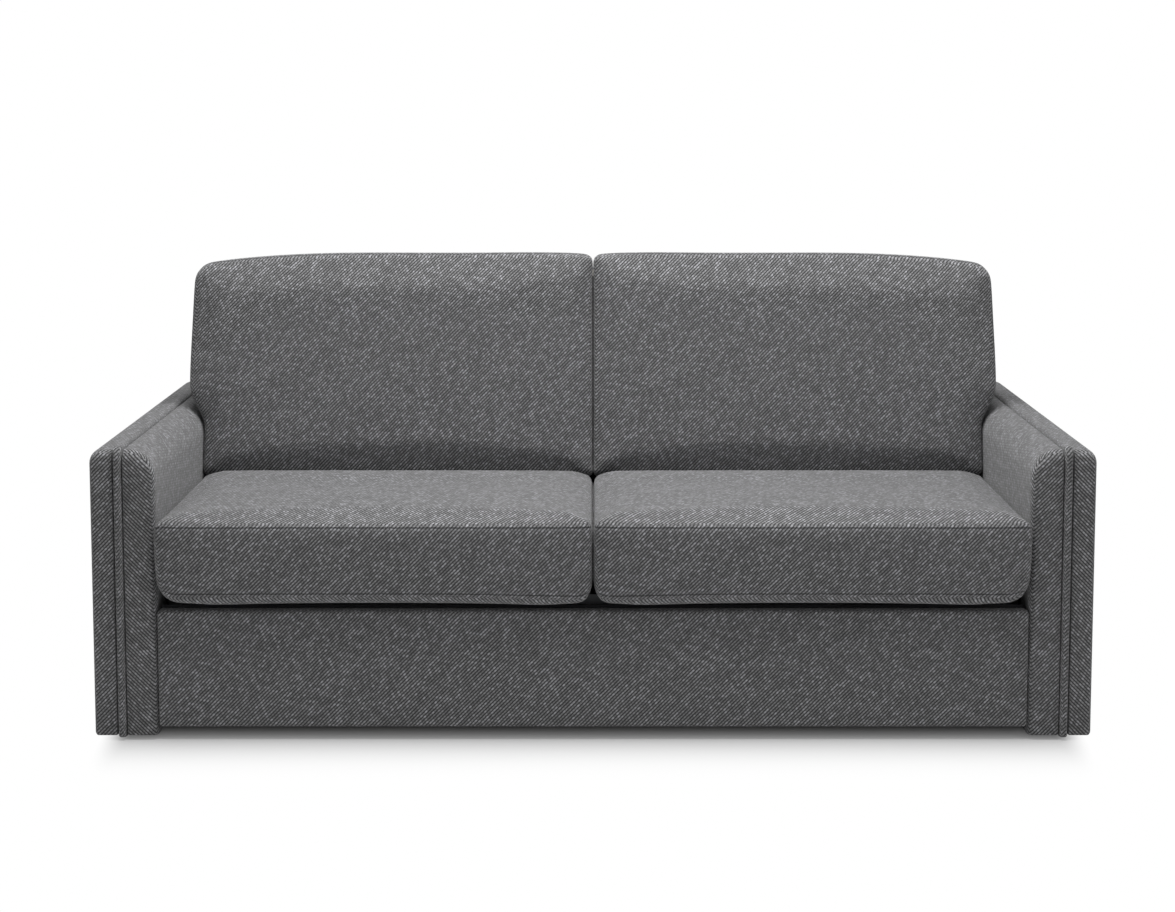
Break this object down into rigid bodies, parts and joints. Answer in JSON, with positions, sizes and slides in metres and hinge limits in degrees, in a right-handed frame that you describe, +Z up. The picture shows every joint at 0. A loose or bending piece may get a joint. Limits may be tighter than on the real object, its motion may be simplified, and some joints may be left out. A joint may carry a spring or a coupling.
{
  "type": "sleeper sofa",
  "caption": "Low-armed upholstered sofa whose back and seat unfold forwards on swing arms into a three-section bed with fold-down legs.",
  "frame": {"origin": "on the floor, under the middle of the folded sofa's bounding box", "axes": "+X along the sofa, to the right as seen from the front, +Y towards the rear, +Z up"},
  "size_m": [1.932, 1.053, 0.8959],
  "materials": {
    "grey_twill": "matt woven twill, mixed grey yarns",
    "dark_grey_twill": "matt woven twill over cord",
    "mattress_ticking": "matt quilted ticking",
    "black_steel": "satin powder coat",
    "zinc_plated_steel": "bright zinc plate",
    "beech": "clear satin lacquer on bent layers",
    "black_plastic": "moulded, matt"
  },
  "bodies": {
    "base": {"arm_inner_pad_left": "grey_twill", "arm_inner_pad_right": "grey_twill", "arm_welt_left": "dark_grey_twill", "arm_welt_right": "dark_grey_twill", "arm_outer_panel_left": "grey_twill", "arm_outer_panel_right": "grey_twill", "floor_glide_front_left": "black_plastic", "floor_glide_front_right": "black_plastic", "floor_glide_rear_left": "black_plastic", "floor_glide_rear_right": "black_plastic", "front_panel": "grey_twill", "rear_rail": "dark_grey_twill", "side_rail_left": "black_steel", "side_rail_right": "black_steel", "swing_arm_pivot_left": "zinc_plated_steel", "swing_arm_pivot_right": "zinc_plated_steel"},
    "swing_arms": {"swing_arm_left": "black_steel", "swing_arm_right": "black_steel", "swing_arm_tie_tube": "black_steel"},
    "seat_section": {"seat_side_tube_left": "black_steel", "seat_side_tube_right": "black_steel", "seat_cross_tube_rear": "black_steel", "seat_cross_tube_front": "black_steel", "seat_slat_1": "beech", "seat_slat_2": "beech", "seat_slat_3": "beech", "seat_slat_4": "beech", "mattress_head": "mattress_ticking", "seat_cushion_left": "grey_twill", "seat_cushion_right": "grey_twill", "seat_pivot_pin_left": "zinc_plated_steel", "seat_pivot_pin_right": "zinc_plated_steel", "back_hinge_pin_left": "zinc_plated_steel", "back_hinge_pin_right": "zinc_plated_steel"},
    "back_section": {"back_side_tube_left": "black_steel", "back_side_tube_right": "black_steel", "back_cross_tube_lower": "black_steel", "back_cross_tube_upper": "black_steel", "back_slat_1": "beech", "back_slat_2": "beech", "back_slat_3": "beech", "back_slat_4": "beech", "mattress_middle": "mattress_ticking", "back_cushion_left": "grey_twill", "back_cushion_right": "grey_twill", "foot_hinge_pin_left": "zinc_plated_steel", "foot_hinge_pin_right": "zinc_plated_steel"},
    "foot_section": {"foot_side_tube_left": "black_steel", "foot_side_tube_right": "black_steel", "foot_cross_tube_upper": "black_steel", "foot_cross_tube_lower": "black_steel", "foot_slat_1": "beech", "foot_slat_2": "beech", "foot_slat_3": "beech", "foot_slat_4": "beech", "mattress_foot": "mattress_ticking", "rear_cover": "grey_twill"},
    "mid_leg": {"mid_leg": "black_steel"},
    "foot_leg": {"foot_leg": "black_steel"}
  },
  "joints": [
    {"name": "arm_swing", "type": "hinge", "parent": "base", "child": "swing_arms", "pos_m": [0, -0.07709, 0.05], "axis": [-1, 0, 0], "range_deg": [0, 98.5]},
    {"name": "seat_turn", "type": "hinge", "parent": "swing_arms", "child": "seat_section", "pos_m": [0, -0.38235, 0.266], "axis": [1, 0, 0], "range_deg": [0, 278.5]},
    {"name": "back_hinge", "type": "hinge", "parent": "seat_section", "child": "back_section", "pos_m": [0, 0.16465, 0.266], "axis": [-1, 0, 0], "range_deg": [0, 80]},
    {"name": "foot_hinge", "type": "hinge", "parent": "back_section", "child": "foot_section", "pos_m": [0, 0.37716, 0.83778], "axis": [1, 0, 0], "range_deg": [0, 180]},
    {"name": "mid_leg_fold", "type": "hinge", "parent": "foot_section", "child": "mid_leg", "pos_m": [0, 0.51424, 0.74558], "axis": [1, 0, 0], "range_deg": [0, 90]},
    {"name": "foot_leg_fold", "type": "hinge", "parent": "foot_section", "child": "foot_leg", "pos_m": [0, 0.413, 0.17144], "axis": [-1, 0, 0], "range_deg": [0, 90]}
  ],
  "couplings": [
    {"joint": "seat_turn", "follows": "arm_swing", "ratio": 2.8275},
    {"joint": "back_hinge", "follows": "arm_swing", "ratio": 0.81221},
    {"joint": "foot_hinge", "follows": "arm_swing", "ratio": 1.8275},
    {"joint": "mid_leg_fold", "follows": "arm_swing", "ratio": 0.91373},
    {"joint": "foot_leg_fold", "follows": "arm_swing", "ratio": 0.91373}
  ]
}
